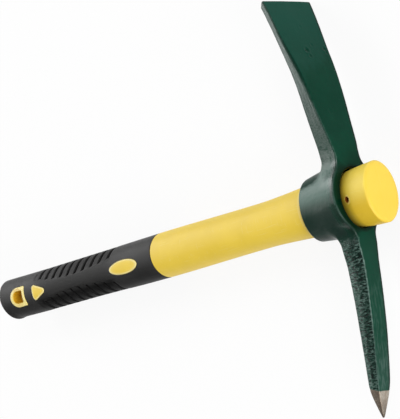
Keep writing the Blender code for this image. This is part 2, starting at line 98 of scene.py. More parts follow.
def blade_section(y):
    """Outer face, thickness and half width of the blade, y millimetres from the middle of the eye."""
    share = np.maximum(y - BLADE_CURVE_START, 0) / (BLADE_REACH - BLADE_CURVE_START)
    wave = WAVE_SINK + WAVE_HEIGHT * np.cos((y - WAVE_HOLLOW) * 2 * np.pi / WAVE_LENGTH)
    face = -BLADE_DROP * share ** ARM_CURVE - wave * ease((y - 28) / 14) * ease((BLADE_REACH - y) / 18)
    flare = np.maximum(y - BLADE_NECK_REACH, 0) / (BLADE_REACH - BLADE_NECK_REACH)
    bow = BLADE_BOW * np.sin(np.pi * flare ** 1.6)
    half_width = blend(BLADE_NECK, BLADE_EDGE, flare ** BLADE_FLARE + bow) / 2
    thin_from = BLADE_REACH - BLADE_THIN_LENGTH
    thinning = np.clip((thin_from - y) / (thin_from - BLADE_NECK_REACH), 0, 1)
    thickness = blend(BLADE_THIN, BLADE_ROOT, thinning ** 1.2)
    bevel = np.maximum(y - BLADE_REACH + BEVEL_LENGTH, 0) / BEVEL_LENGTH
    return face, blend(thickness, BEVEL_EDGE, np.clip(bevel, 0, 1)), half_width


def pick_section(y):
    """Outer face, thickness and half width of the pick. The last stretch tapers to the point."""
    share = np.maximum(-y - PICK_CURVE_START, 0) / (PICK_REACH - PICK_CURVE_START)
    root, point_start = EYE_FACE[0], PICK_REACH - POINT_LENGTH
    slim = np.clip((-y - root) / (point_start - root), 0, 1)
    half_width = blend(PICK_WIDTH, PICK_END_WIDTH, slim ** 3) / 2
    half_width = half_width + (PICK_ROOT_WIDTH - PICK_WIDTH) / 2 * (1 - ease((-y - root) / PICK_ROOT_FADE))
    thickness = blend(PICK_ROOT_THICKNESS, PICK_END_THICKNESS, slim ** 1.3)
    into_point = np.clip((-y - point_start) / POINT_LENGTH, 0, 1)
    keep = 1 - into_point ** POINT_ROUNDING
    face = -PICK_DROP * share ** ARM_CURVE - POINT_DIP * into_point ** 2
    return face, blend(POINT_FLAT, thickness, keep), blend(POINT_FLAT, 2 * half_width, keep) / 2


def arm_section(y):
    """Outer face, thickness and half width of the arm at y, which is the blade above the eye."""
    return [np.where(y >= 0, blade, pick) for blade, pick in zip(blade_section(y), pick_section(y))]


def rounded_cut(first, second, radius):
    """Both of two distances hold, and the edge where they meet is rounded."""
    over = np.hypot(np.maximum(first + radius, 0), np.maximum(second + radius, 0))
    return np.minimum(np.maximum(first, second), -radius) + over


def filleted_join(first, second, width):
    near = np.maximum(width - np.abs(first - second), 0) / width
    return np.minimum(first, second) - near * near * width / 4


def off_oval(y, z, half_length, half_width, roundness=2.0):
    """Distance from an oval wall, negative inside it."""
    u, v = np.abs(y) / half_length + 1e-6, np.abs(z) / half_width + 1e-6
    reach = (u ** roundness + v ** roundness) ** (1 / roundness)
    power = roundness - 1
    return (reach - 1) / np.hypot((u / reach) ** power / half_length, (v / reach) ** power / half_width)


def forging_distance(x, y, z):
    """Distance in millimetres from the skin of the forging, negative inside the steel."""
    face, thickness, half_width = arm_section(y)
    rolled = 1 - ease((np.abs(y - SHOULDER) - SHOULDER_HALF) / SHOULDER_FADE)
    corner = np.minimum(blend(ARM_CORNER, SHOULDER_CORNER, rolled), np.minimum(thickness, half_width) / 3)
    off_parting = np.sqrt(((x - face + thickness * PARTING_DEPTH) / (thickness / 2)) ** 2 + 0.004)
    crown = np.where(y >= 0, BLADE_CROWN, PICK_CROWN) * np.minimum(thickness / PICK_ROOT_THICKNESS, 1)
    side = np.abs(z) - half_width - crown * np.maximum(1 - off_parting, -0.2)
    end = np.where(y >= 0, y - BLADE_REACH + EDGE_BOW * (z / 25) ** 2, -PICK_REACH - y)
    side = rounded_cut(side, end, np.where(y >= 0, EDGE_CORNER, POINT_EDGE))
    arms = rounded_cut(side, face - thickness - x, np.minimum(INNER_CORNER, thickness / 3))
    up = np.clip((x + COLLAR_DEPTH) / COLLAR_DEPTH, 0, 1.02)
    shift = FACE_SHIFT * up
    half_length, half_wide = (blend(a, b, up) for a, b in zip(COLLAR_RIM, EYE_FACE))
    half_length = half_length + COLLAR_BULGE * np.sin(np.pi * np.minimum(up, 1))
    roundness = np.where(y > shift, 2.0, blend(2.0, PICK_SIDE_ROUNDNESS, up))
    collar = off_oval(y - shift, z, half_length, half_wide, roundness)
    collar = rounded_cut(collar, -COLLAR_DEPTH - x, COLLAR_EDGE_RADIUS)
    body = filleted_join(arms, collar, blend(INNER_FILLET, FACE_FILLET, ease(up * 1.4 - 0.3)))
    top = face + FACE_PROUD * (1 - ease((np.abs(y) - 22) / 8))
    near_eye = 1 - ease((np.abs(y) - 24) / 8)
    body = rounded_cut(body, x - top, np.maximum(blend(corner, EYE_EDGE_RADIUS, near_eye), 0.3))
    down = np.clip(-x / COLLAR_DEPTH, 0, 1)
    mouth = np.maximum(x - FACE_PROUD + MOUTH_CHAMFER, 0) * 0.9
    bore_half = [blend(a, b, down) + mouth for a, b in zip(BORE_IN_EYE, BORE_IN_COLLAR)]
    return rounded_cut(body, -off_oval(y - BORE_SHIFT, z, *bore_half), BORE_EDGE_RADIUS)


def skin_over(distance, low, high, step):
    """Points and quads that cover the surface where the distance is nought."""
    low = np.array(low, float)
    counts = [int((b - a) / step) + 2 for a, b in zip(low, high)]
    axes = [a + step * np.arange(n) for a, n in zip(low, counts)]
    values = distance(*np.meshgrid(*axes, indexing="ij"))
    inside = values < 0
    cells_along = [n - 1 for n in counts]
    corners = [np.array([i, j, k]) for i in (0, 1) for j in (0, 1) for k in (0, 1)]
    filled = sum(inside[tuple(slice(c, c + n) for c, n in zip(corner, cells_along))].astype(int)
                 for corner in corners)
    cut = (filled > 0) & (filled < 8)
    cells = np.argwhere(cut)
    number = np.full(cells_along, -1)
    number[cut] = np.arange(len(cells))
    total, hits = np.zeros((len(cells), 3)), np.zeros(len(cells))
    for corner in corners:
        for axis in range(3):
            if corner[axis]:
                continue
            across = np.eye(3, dtype=int)[axis]
            near, far = values[tuple((cells + corner).T)], values[tuple((cells + corner + across).T)]
            crossed = (near < 0) != (far < 0)
            share = np.where(crossed, near / np.where(crossed, near - far, 1), 0)
            total += (cells + corner + across * share[:, None]) * crossed[:, None]
            hits += crossed
    points = total / hits[:, None] * step + low
    quads = []
    for axis in range(3):
        u, v = (axis + 1) % 3, (axis + 2) % 3
        front = np.take(inside, range(counts[axis] - 1), axis)
        back = np.take(inside, range(1, counts[axis]), axis)
        places = np.argwhere(front != back)
        kept = (places[:, u] > 0) & (places[:, v] > 0)
        kept &= (places[:, u] < counts[u] - 1) & (places[:, v] < counts[v] - 1)
        places = places[kept]
        ring = []
        for du, dv in ((-1, -1), (0, -1), (0, 0), (-1, 0)):
            cell = places.copy()
            cell[:, u] += du
            cell[:, v] += dv
            ring.append(number[tuple(cell.T)])
        ring = np.stack(ring, 1)
        outward = front[tuple(places.T)]
        quads.append(np.where(outward[:, None], ring, ring[:, ::-1]))
    return points, np.concatenate(quads)


def slope_of(distance, points, reach=0.05):
    steps = np.eye(3) * reach
    return np.stack([(distance(*(points + s).T) - distance(*(points - s).T)) / (2 * reach) for s in steps], 1)


def settle(distance, points):
    """Moves points straight onto the surface."""
    slope = slope_of(distance, points)
    move = distance(*points.T)[:, None] * slope / np.maximum((slope ** 2).sum(1), 0.2)[:, None]
    return points - np.clip(move, -0.5, 0.5)


def neighbour_mean(points, edges):
    total, count = np.zeros_like(points), np.zeros(len(points))
    for a, b in (edges.T, edges.T[::-1]):
        np.add.at(total, a, points[b])
        np.add.at(count, a, 1)
    return total / count[:, None]


def lumps(points, size, height):
    """Smooth unevenness of the given size and height, at each point."""
    return np.array([noise.noise(Vector(point) / size) * height for point in points])


def piece_from(name, points, faces, material):
    """A named piece from points in millimetres, measured from the middle of the eye's outer face."""
    mesh = bpy.data.meshes.new(name)
    mesh.from_pydata(((np.asarray(points) + EYE) * MM).tolist(), [], [list(map(int, f)) for f in faces])
    mesh.validate()
    mesh.shade_smooth()
    mesh.materials.append(material)
    piece = bpy.data.objects.new(name, mesh)
    bpy.context.scene.collection.objects.link(piece)
    return piece


def store(piece, name, values):
    """Keeps a number for each point of the piece, for its material to read."""
    kept = piece.data.attributes.new(name, "FLOAT", "POINT")
    kept.data.foreach_set("value", np.asarray(values, np.float32))


DENTS = [((-11.0, 103.6, 2.2), 1.7, 0.42), ((-10.1, 99.2, 1.2), 1.2, 0.3),
         ((-11.8, 107.2, -5.4), 1.3, 0.18), ((-11.1, 104.1, -16.8), 1.5, 0.4),
         ((-10.5, 101.1, -17.6), 1.2, 0.3), ((-14.8, 120.7, -1.8), 1.2, 0.12),
         ((-10.5, 28.4, 12.5), 3.2, 0.2), ((-3.0, 60.0, 3.0), 1.6, 0.12), ((-6.4, -78.0, 4.5), 1.3, 0.15)]
points, quads = skin_over(forging_distance, (-38.4, -144.2, -27.2), (1.9, 141.4, 27.2), SKIN_STEP)
edges = np.unique(np.sort(np.concatenate([quads[:, [i, (i + 1) % 4]] for i in range(4)]), axis=1), axis=0)
for _ in range(3):
    points = settle(forging_distance, blend(points, neighbour_mean(points, edges), 0.5))
points = settle(forging_distance, settle(forging_distance, points))
normals = slope_of(forging_distance, points)
normals /= np.maximum(np.linalg.norm(normals, axis=1), 1e-6)[:, None]
sharpness = ((points - neighbour_mean(points, edges)) * normals).sum(1)
sharpness = blend(sharpness, neighbour_mean(sharpness[:, None], edges)[:, 0], 0.5)
uneven = lumps(points, 19, 0.16) + lumps(points, 6.1, 0.05) + lumps(points, 1.9, 0.018)
on_y = points[:, 1]
on_arms = ease((np.abs(on_y - 4) - 22) / 8) * ease((44 - on_y) / 20 + 0.25 * (on_y < 0) + 0.25)
as_forged = ease((np.abs(normals[:, 2]) - 0.55) / 0.3) * (0.35 + 0.65 * on_arms)
uneven += as_forged * (lumps(points * [0.22, 0.85, 0.22], 1, 0.1) + lumps(points, 2.6, 0.07))
uneven[np.hypot(on_y / BORE_IN_EYE[0], points[:, 2] / BORE_IN_EYE[1]) < 1.08] *= 0.2
chipped = np.zeros(len(points))
for centre, radius, depth in DENTS:
    away = np.linalg.norm(points - np.array(centre), axis=1) / radius
    hollow, raised_edge = np.exp(-away ** 2 * 1.6), np.exp(-(away - 1.5) ** 2 * 5)
    chipped += hollow * min(depth / 0.3, 1) ** 3
    uneven -= depth * (hollow - 0.45 * raised_edge)
points = points + normals * uneven[:, None]


def join(tree, source, target):
    """Links a socket or a reading to an input, or sets the input's own value."""
    if isinstance(source, Reading):
        source = source.socket
    if isinstance(source, bpy.types.NodeSocket):
        tree.links.new(source, target)
    else:
        target.default_value = source


def add_node(tree, kind, inputs=(), **settings):
    """A new node with its settings made, and its inputs joined by name or by number."""
    node = tree.nodes.new(kind)
    for name, value in settings.items():
        setattr(node, name, value)
    for name, value in dict(inputs).items():
        join(tree, value, node.inputs[name])
    return node


def math_step(kind, swapped=False, clamp=False):
    """A method of a reading that works out a new one from it and another value."""
    def method(self, other=0.0):
        values = (other, self) if swapped else (self, other)
        node = add_node(self.tree, "ShaderNodeMath", enumerate(values), operation=kind, use_clamp=clamp)
        return Reading(self.tree, node.outputs[0])
    return method


class Reading:
    """A number that a node tree works out at each place, so that a rule reads as a formula."""

    __add__ = __radd__ = math_step("ADD")
    __mul__ = __rmul__ = math_step("MULTIPLY")
    __sub__, __rsub__ = math_step("SUBTRACT"), math_step("SUBTRACT", swapped=True)
    __truediv__, __pow__, __abs__ = math_step("DIVIDE"), math_step("POWER"), math_step("ABSOLUTE")
    at_least, at_most, above = math_step("MAXIMUM"), math_step("MINIMUM"), math_step("GREATER_THAN")
    cosine, sine, rounded = math_step("COSINE"), math_step("SINE"), math_step("ROUND")
    kept_to_share = math_step("ADD", clamp=True)

    def __init__(self, tree, socket):
        self.tree, self.socket = tree, socket

    def __neg__(self):
        return 0 - self

    def past(self, low, high):
        """Nought below low and one above high, with a soft start and end."""
        node = add_node(self.tree, "ShaderNodeMapRange", {"Value": self, "From Min": low, "From Max": high},
                        interpolation_type="SMOOTHSTEP")
        return Reading(self.tree, node.outputs[0])

    def until(self, low, high):
        """One below low and nought above high, with a soft start and end."""
        return 1 - self.past(low, high)


def parts_of(tree, vector):
    """The three parts of a vector, as readings."""
    node = add_node(tree, "ShaderNodeSeparateXYZ", {0: vector})
    return [Reading(tree, socket) for socket in node.outputs]


def vector_of(tree, parts):
    """A vector made from readings."""
    return add_node(tree, "ShaderNodeCombineXYZ", enumerate(parts)).outputs[0]


def mottle(tree, place, per_mm, stretch=(1, 1, 1), detail=3.0, roughness=0.55):
    """Noise of the given fineness over a place in millimetres, as a reading round one half."""
    scaled = add_node(tree, "ShaderNodeVectorMath", {0: place, 1: stretch}, operation="MULTIPLY")
    pattern = add_node(tree, "ShaderNodeTexNoise", {"Vector": scaled.outputs[0], "Scale": per_mm,
                                                    "Detail": detail, "Roughness": roughness})
    return Reading(tree, pattern.outputs["Fac"])


def tint(tree, share, low, high):
    """A colour that goes from low to high, each a plain colour or another socket."""
    low, high = ((*value, 1.0) if isinstance(value, tuple) else value for value in (low, high))
    return add_node(tree, "ShaderNodeMix", {"Factor": share, 6: low, 7: high}, data_type="RGBA").outputs[2]


def make_use_marks():
    """Marks that years of use leave on any finish: cloudy patches, small specks, fine scratches and grain."""
    tree = bpy.data.node_groups.new("use_marks", "ShaderNodeTree")
    tree.interface.new_socket("Place", in_out="INPUT", socket_type="NodeSocketVector")
    for name, size in (("Patch Fineness", 0.06), ("Speck Fineness", 0.5), ("Speck Share", 0.3),
                       ("Grain Fineness", 1.5)):
        socket = tree.interface.new_socket(name, in_out="INPUT", socket_type="NodeSocketFloat")
        socket.default_value = size
    for name in ("Patches", "Specks", "Scratches", "Grain"):
        tree.interface.new_socket(name, in_out="OUTPUT", socket_type="NodeSocketFloat")
    given = tree.nodes.new("NodeGroupInput").outputs
    made = tree.nodes.new("NodeGroupOutput").inputs
    patches = mottle(tree, given["Place"], given["Patch Fineness"], detail=4.0)
    join(tree, patches.past(0.34, 0.66), made["Patches"])
    specks = mottle(tree, given["Place"], given["Speck Fineness"], detail=2.0)
    level = 0.8 - Reading(tree, given["Speck Share"]) * 0.4
    join(tree, specks.past(level, level + 0.06), made["Specks"])
    along = mottle(tree, given["Place"], 0.9, stretch=(0.06, 1.3, 1.3), detail=2.0)
    across = mottle(tree, given["Place"], 0.8, stretch=(1.2, 0.07, 0.9), detail=2.0)
    join(tree, along.past(0.64, 0.7).at_least(across.past(0.65, 0.71)), made["Scratches"])
    join(tree, mottle(tree, given["Place"], given["Grain Fineness"], detail=5.0), made["Grain"])
    return tree


use_marks = make_use_marks()


class Finish:
    """A material in the making, with its place on the tool in millimetres from the eye."""

    def __init__(self, name, specular, **marks):
        self.material = bpy.data.materials.new(name)
        self.material.use_nodes = True
        self.tree = tree = self.material.node_tree
        self.shader = tree.nodes["Principled BSDF"]
        self.shader.inputs["Specular IOR Level"].default_value = specular
        on_object = add_node(tree, "ShaderNodeTexCoord").outputs["Object"]
        centred = {"Vector": on_object, "Location": -EYE, "Scale": (1 / MM,) * 3}
        self.place = add_node(tree, "ShaderNodeMapping", centred).outputs[0]
        self.x, self.y, self.z = parts_of(tree, self.place)
        self.buttward, self.pickward = -self.x, -self.y
        self.facing = parts_of(tree, add_node(tree, "ShaderNodeNewGeometry").outputs["Normal"])
        marks = {label.replace("_", " ").title(): value for label, value in marks.items()}
        marked = add_node(tree, "ShaderNodeGroup", {"Place": self.place, **marks}, node_tree=use_marks)
        made = [Reading(tree, socket) for socket in marked.outputs]
        self.patches, self.specks, self.scratches, self.grain = made

    def mottle(self, per_mm, **shape):
        return mottle(self.tree, self.place, per_mm, **shape)

    def mark(self, name):
        """A number stored on the piece's own points."""
        node = add_node(self.tree, "ShaderNodeAttribute", attribute_name=name)
        return Reading(self.tree, node.outputs["Fac"])

    def start(self, share, low, high):
        self.colour = tint(self.tree, share, low, high)

    def coat(self, share, colour):
        """Covers the colour so far with another, by the share."""
        self.colour = tint(self.tree, share, self.colour, colour)

    def done(self, relief, depth, inputs):
        """Joins the results to the shader. The relief is in shares of the given depth in metres."""
        bump = add_node(self.tree, "ShaderNodeBump", {"Distance": depth, "Height": relief})
        for name, value in {"Base Color": self.colour, "Normal": bump.outputs[0], **inputs}.items():
            join(self.tree, value, self.shader.inputs[name])
        return self.material


paint = Finish("head_paint", 0.52,
               patch_fineness=0.045, speck_fineness=0.9, speck_share=0.15, grain_fineness=1.1)
out_facing, up_facing, side_facing = paint.facing
sideways = abs(side_facing)
strokes = paint.mottle(0.11, stretch=(1, 0.6, 1), detail=5.0, roughness=0.65)
streaks = paint.mottle(0.7, stretch=(1, 0.07, 1)).past(0.44, 0.64)
comb = paint.mottle(0.95, stretch=(0.4, 1, 0.4), detail=2.0, roughness=0.6)
blotches = paint.mottle(0.22, detail=2.0).past(0.4, 0.6)
chips = paint.mark("chipped").kept_to_share()

# Where the green differs: on the forged sides, round the collar, and toward both ends.
# Much of it is painted light and shade: lit and shaded facets and halves, painted sheen and dark edge lines
on_side = sideways.past(0.6, 0.9)
as_forged_side = on_side * (abs(paint.y - 3) + paint.x * -0.5).past(20, 34)
painted_shade_facet = paint.pickward.past(-6, 8) * out_facing.past(-0.16, 0.06)
on_pick_side = on_side * (comb * 14 - paint.y).past(31, 38)
painted_lit_facet = on_pick_side * out_facing.until(-0.18, -0.06)
round_eye = abs(paint.y - 2).until(22, 28)
off_face = sideways.at_least(abs(up_facing)).past(0.5, 0.8)
on_collar = off_face * paint.buttward.past(3, 8) * round_eye
painted_lit_half = off_face * paint.y.past(0, 8) * paint.y.until(18, 30) * paint.buttward.past(1.5, 3.0)
collar_top = up_facing.past(0.52, 0.66) * paint.buttward.past(4, 10) * round_eye
toward_edge = (paint.y + paint.z * 0.3 + strokes * 26 - 13).past(85, 100) * 0.6 + paint.y.past(102, 130) * 0.4
toward_point = paint.pickward.past(86, 110)
painted_sheen_streaks = paint.pickward.past(46, 60) * out_facing.past(0.6, 0.9) * streaks * (1 - toward_point)
painted_sheen_strip = sideways.past(0.8, 0.95) * paint.y.past(44, 60)
strip_place = vector_of(paint.tree, (paint.mark("below_face"), paint.y))
strip_lines = mottle(paint.tree, strip_place, 1.0, stretch=(1.5, 0.07, 1)).past(0.45, 0.62)
edge_turn = out_facing.past(0.1, 0.35) * side_facing.past(0.14, 0.4) * paint.y.past(56, 92)

# Edges rubbed paler by use, with painted highlights along the pick's edge and round the eye,
# and painted shade round the eye's mouth
edge_wear_and_glint = (paint.mark("sharpness") * 11 + paint.grain * 0.5 - 0.55).kept_to_share()
pick_edge_glint = paint.pickward.past(18, 26) * (paint.y + 92).past(0, 18) * out_facing.past(0.22, 0.4)
eye_edge_glint = abs(paint.y - 3).until(22, 30) * paint.x.past(-4, -2) * (paint.pickward.past(8, 20) * 0.5 + 0.5)
by_mouth = ((paint.y / BORE_IN_EYE[0]) ** 2.0 + (paint.z / BORE_IN_EYE[1]) ** 2.0) ** 0.5
painted_shade_by_mouth = by_mouth.until(1.06, paint.z.past(4, 15) * 0.6 + 1.2) * paint.x.past(-6, -2)

paint.start(paint.patches, (0.0004, 0.036, 0.019), (0.001, 0.043, 0.023))
paint.coat(paint.y.past(24, 50) * 0.25, (0.0004, 0.02, 0.012))
# The forged sides a little greyer, and the outward facet of the pick's sides much darker: painted shade
paint.coat(as_forged_side * (0.1 + painted_shade_facet * 0.65), (0.005, 0.02, 0.015))
# Painted light: the inward facet of the pick's sides lighter green
paint.coat(painted_lit_facet * 0.8, (0.024, 0.095, 0.07))
paint.coat(on_pick_side * comb.past(0.51, 0.58) * (0.25 + blotches * 0.45), (0.1, 0.16, 0.138))
paint.coat(on_pick_side * comb.until(0.41, 0.48) * 0.9, (0.0006, 0.005, 0.0035))
# Painted shade: the pick's side of the collar darker and greyer
paint.coat(on_collar * paint.pickward.past(-4, 6) * 0.7, (0.008, 0.019, 0.015))
# Painted light: the blade's side of the collar brighter green
paint.coat(painted_lit_half * 0.8, (0.001, 0.08, 0.05))
# Painted shade: the part of the collar that faces toward the blade darker
paint.coat(collar_top * 0.8, (0.0004, 0.02, 0.012))
paint.coat(toward_edge * (1 - as_forged_side) * 0.8, (0.007, 0.056, 0.039))
# Painted reflection: the pick paler and greyer toward the point and along its outer face, in lengthwise
# streaks
paint.coat(toward_point * (1 - as_forged_side) * (0.15 + streaks * 0.5), (0.062, 0.112, 0.095))
paint.coat(painted_sheen_streaks * 0.28, (0.05, 0.11, 0.085))
# Painted reflection: the blade's side strip pale grey, in lengthwise lines and more toward the edge
paint.coat(painted_sheen_strip * (strip_lines * 0.4 + paint.y.past(60, 90) * 0.34), (0.13, 0.17, 0.155))
# Painted shade: a dark line where the blade's broad face rolls over into its near side
paint.coat(edge_turn * 0.7, (0.0004, 0.013, 0.007))
# Painted shade: a dark line along the far edge of the outer faces
paint.coat(paint.mark("far_edge_shade") * out_facing.past(0.2, 0.5), (0.006, 0.018, 0.013))
paint.coat(chips, (0.0002, 0.024, 0.013))
# Edges a little paler where use has rubbed them, and much paler along the pick's outer edge and round the
# eye: painted highlights
paint.coat(edge_wear_and_glint * (0.15 + pick_edge_glint.at_least(eye_edge_glint) * 0.75), (0.17, 0.26, 0.23))
# Painted shade round the mouth of the eye, where the cap meets the face
paint.coat(painted_shade_by_mouth * 0.85, (0.001, 0.0085, 0.0032))
paint.coat(paint.specks * 0.25, (0.26, 0.32, 0.3))

# The bare point, with its ragged border and painted shade on its side facet
ragged = paint.mottle(0.55, detail=4.0) * 0.9 - paint.z * 0.13 + (paint.x + 17) * 0.42
ground = (paint.pickward - (PICK_REACH - BARE_LENGTH) - ragged).past(-0.25, 0.25)
grinding = paint.mottle(2.2, stretch=(1, 0.05, 1), detail=4.0)
wide_grinding = paint.mottle(0.45, stretch=(1, 0.08, 1), detail=2.0).past(0.42, 0.6)
# Painted shade: the point's side facet darker brown
shaded_point_facet = side_facing.past(0.3, 0.6)
used_end = paint.pickward.past(128, 139) * (1 - shaded_point_facet) * 0.55
used_end = used_end.at_least(paint.pickward.past(139.2, 140.6) * 0.8)
steel = tint(paint.tree, grinding.past(0.35, 0.65), (0.3, 0.27, 0.225), (0.56, 0.52, 0.45))
for share, colour in ((wide_grinding * 0.5, (0.27, 0.195, 0.15)), (shaded_point_facet * 0.75, (0.15, 0.115, 0.088)),
                      (paint.patches * 0.25, (0.26, 0.19, 0.13)), (used_end, (0.1, 0.076, 0.056))):
    steel = tint(paint.tree, share, steel, colour)
paint.coat(ground, steel)

# Gloss: dull where the paint is matt or mirrors the dark of the room, polished where it mirrors a lamp
by_fillet = paint.pickward.past(6, 12) * paint.pickward.until(24, 30) * paint.x.past(-22, -14)
dull = out_facing.past(0.45, 0.85) * (1 - paint.pickward.past(20, 34) * 0.07)
for share in (collar_top, chips, edge_turn * out_facing.until(0.75, 0.95),
              (-up_facing).past(0.35, 0.7) * paint.buttward.past(4, 12) * 0.9,
              paint.pickward.past(-5, 5) * paint.buttward.past(14, 34) * on_collar * 0.7,
              on_pick_side * out_facing.past(-0.21, -0.06) * 0.78, by_fillet * sideways.past(0.3, 0.6) * 0.5):
    dull = dull.at_least(share)
polish = abs(paint.y - 23).until(9, 15) * paint.x.past(-16, -9) * sideways.past(0.4, 0.7) * 0.8
polish = polish.at_least(painted_lit_facet * 0.4).at_least(sideways.past(0.8, 0.95) * paint.y.past(60, 110) * 0.6)
scale_pits = paint.mottle(0.3) * on_collar * abs(paint.y + 1).until(3, 9)
forged_scale = comb * (as_forged_side * 2.4 + on_pick_side * 8.0) + scale_pits * 3.0
head_paint = paint.done(
    paint.grain * 0.8 + paint.patches * 0.4 + ground * grinding * 0.9 + forged_scale, 0.00006,
    {"Roughness": 0.17 + paint.patches * 0.06 + paint.grain * 0.06 + on_collar * 0.1 + ground * 0.2,
     "Metallic": ground * 0.8, "Specular IOR Level": 0.52 - dull * 0.48 + polish * 0.35})

head = piece_from("forged_head", points, quads, head_paint)
faces_out, _, half_widths = arm_section(points[:, 1])
store(head, "sharpness", sharpness)
store(head, "chipped", chipped)
store(head, "below_face", faces_out - points[:, 0])
store(head, "far_edge_shade", 1 - ease((half_widths + points[:, 2] - 1.0) / 1.8))
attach(head, "root")
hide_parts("head")


# The core: a pultruded rod of glass fibre and resin, cut square and chamfered, that carries the load.
# The jacket is moulded round it, and only the bottom of the pin hole in the cap lets it be seen.
fibre = Finish("fibreglass", 0.5,
               patch_fineness=0.05, speck_fineness=1.2, speck_share=0.3, grain_fineness=2.5)
strands = fibre.mottle(2.4, stretch=(0.02, 1, 1), detail=5.0)
fibre.start(strands.past(0.38, 0.62), (0.46, 0.42, 0.28), (0.72, 0.7, 0.56))
fibre.coat(fibre.patches * 0.3, (0.38, 0.3, 0.16))
core_finish = fibre.done(strands + fibre.grain * 0.4, 0.00008, {"Roughness": 0.42 + strands * 0.25})
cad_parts["fibreglass_core"].data.materials[0] = core_finish


# The jacket: yellow plastic moulded round the core. It tapers into the eye, jams there on its own
# flare, and ends in a flat cap. A locating pin left the small hole in the side of the cap. Under the
# rubber it goes on to the butt, with a way through it for the hang hole's eyelet.
BUTT, GRIP_EDGE, FLARE_START, FLARE_POWER = 368.6, 184.4, 80.0, 1.5
EYE_HALF, CAP_HALF, COLLAR_HALF = (18.95, 16.8), (20.7, 17.4), (17.9, 14.5)
NECK_HALF, EDGE_HALF, WAIST_HALF, WAIST = (15.8, 14.4), (16.85, 15.4), (16.4, 15.15), 280.0
CAP_SWELL, CAP_EDGE_RADIUS, CAP_EDGE_DRAW, CAP_LEAN, CAP_BULGE = 0.75, 1.7, 3.5, 0.8, 0.4
RUBBER, GAP, BUTT_WALL, BUTT_RADIUS, MOUTH_BOW, MOUTH_FADE = 2.6, 0.3, 4.0, 1.5, 0.8, 12.0
CORE_HALF, CORE_FROM, CORE_TO = (10.0, 8.5), -330.0, 12.0
PIN_HOLE, PIN_HOLE_RADIUS, PIN_HOLE_STRETCH = (3.3, -0.5), 1.95, 1.35
PIN_HOLE_CHAMFER, PIN_HOLE_FLOOR, PIN_OVERRUN = 0.5, 3.0, 1.75
HANG_D, HANG_D_SIZE, HANG_D_CORNER, HANG_D_BACK, HANG_HOLE_SIZE = -345.0, (17.5, 15.9), 1.2, 0.3, (11.2, 9.2)
SHOULDER_STEP, AROUND, OUTLINE_POINTS, ARC_POINTS, CUT_REACH = 0.25, 128, 96, 16, 20


def handle_half(x):
    """Half length (Y) and half width (Z) of the bare handle at x."""
    if x >= 0:
        return blend(EYE_HALF, CAP_HALF, (x / CAP_LENGTH) ** CAP_SWELL)
    if x >= -COLLAR_DEPTH:
        return blend(EYE_HALF, COLLAR_HALF, -x / COLLAR_DEPTH)
    if x >= -FLARE_START:
        flare = (x + FLARE_START) / (FLARE_START - COLLAR_DEPTH)
        return blend(NECK_HALF, COLLAR_HALF, flare ** FLARE_POWER)
    return blend(NECK_HALF, EDGE_HALF, ease((-x - FLARE_START) / (GRIP_EDGE - FLARE_START)))


def grip_half(x, inset=0.0):
    """Half length and half width of the plain grip at x, drawn in by inset and rounded at the butt."""
    into_round = max(BUTT_RADIUS - BUTT - x, 0.0)
    drawn_in = BUTT_RADIUS - math.sqrt(max(BUTT_RADIUS ** 2 - into_round ** 2, 0.0))
    return blend(EDGE_HALF, WAIST_HALF, ease((-x - GRIP_EDGE) / (WAIST - GRIP_EDGE))) - inset - drawn_in


def oval_ring(x, half, count=AROUND):
    turn = 2 * np.pi * np.arange(count) / count
    return np.stack([np.full(count, x), half[0] * np.cos(turn), half[1] * np.sin(turn)], 1)


def loft(rings, closed=False):
    """Points and faces through a row of rings, with both ends filled unless the row runs round in a loop."""
    count = len(rings[0])
    rows = [np.arange(count) + i * count for i in range(len(rings))]
    pairs = list(zip(rows, rows[1:] + rows[:1] if closed else rows[1:]))
    faces = []
    for low, high in pairs:
        faces += np.stack([low, np.roll(low, -1), np.roll(high, -1), high], 1).tolist()
    if not closed:
        faces += [rows[0][::-1].tolist(), rows[-1].tolist()]
    return np.concatenate(rings), faces


def face_outward(piece):
    """Merges doubled points, turns all faces outward, and marks the edges that should stay crisp."""
    body = bmesh.new()
    body.from_mesh(piece.data)
    bmesh.ops.remove_doubles(body, verts=body.verts, dist=1e-7)
    bmesh.ops.recalc_face_normals(body, faces=body.faces)
    body.to_mesh(piece.data)
    body.free()
    piece.data.set_sharp_from_angle(angle=math.radians(38))


def bake(piece, step):
    """Makes the modifier's result the piece's own plain mesh, and removes the modifier."""
    state = bpy.context.evaluated_depsgraph_get()
    finished = bpy.data.meshes.new_from_object(piece.evaluated_get(state))
    piece.modifiers.remove(step)
    piece.data = finished


def cut_away(piece, cutter):
    """Cuts the cutter out of the piece for good and removes the cutter."""
    step = piece.modifiers.new("cut", "BOOLEAN")
    step.operation, step.solver, step.object = "DIFFERENCE", "EXACT", cutter
    bake(piece, step)
    bpy.data.objects.remove(cutter)


def rounded_outline(corners, count):
    """An evenly spaced outline through (x, y, radius) corners, listed anticlockwise, with an arc at each."""
    outline = []
    for i, (x, y, radius) in enumerate(corners):
        corner = Vector((x, y))
        before = (Vector(corners[i - 1][:2]) - corner).normalized()
        after = (Vector(corners[(i + 1) % len(corners)][:2]) - corner).normalized()
        half_angle = before.angle(after) / 2
        centre = corner + (before + after).normalized() * radius / math.sin(half_angle)
        start = corner + before * radius / math.tan(half_angle) - centre
        for step in range(ARC_POINTS):
            arm = start.copy()
            arm.rotate(Matrix.Rotation((math.pi - 2 * half_angle) * step / (ARC_POINTS - 1), 2))
            outline.append(tuple(centre + arm))
    loop = np.array(outline + outline[:1])
    run = np.concatenate([[0], np.cumsum(np.linalg.norm(np.diff(loop, axis=0), axis=1))])
    places = np.linspace(0, run[-1], count, endpoint=False)
    return np.stack([np.interp(places, run, loop[:, i]) for i in range(2)], 1)


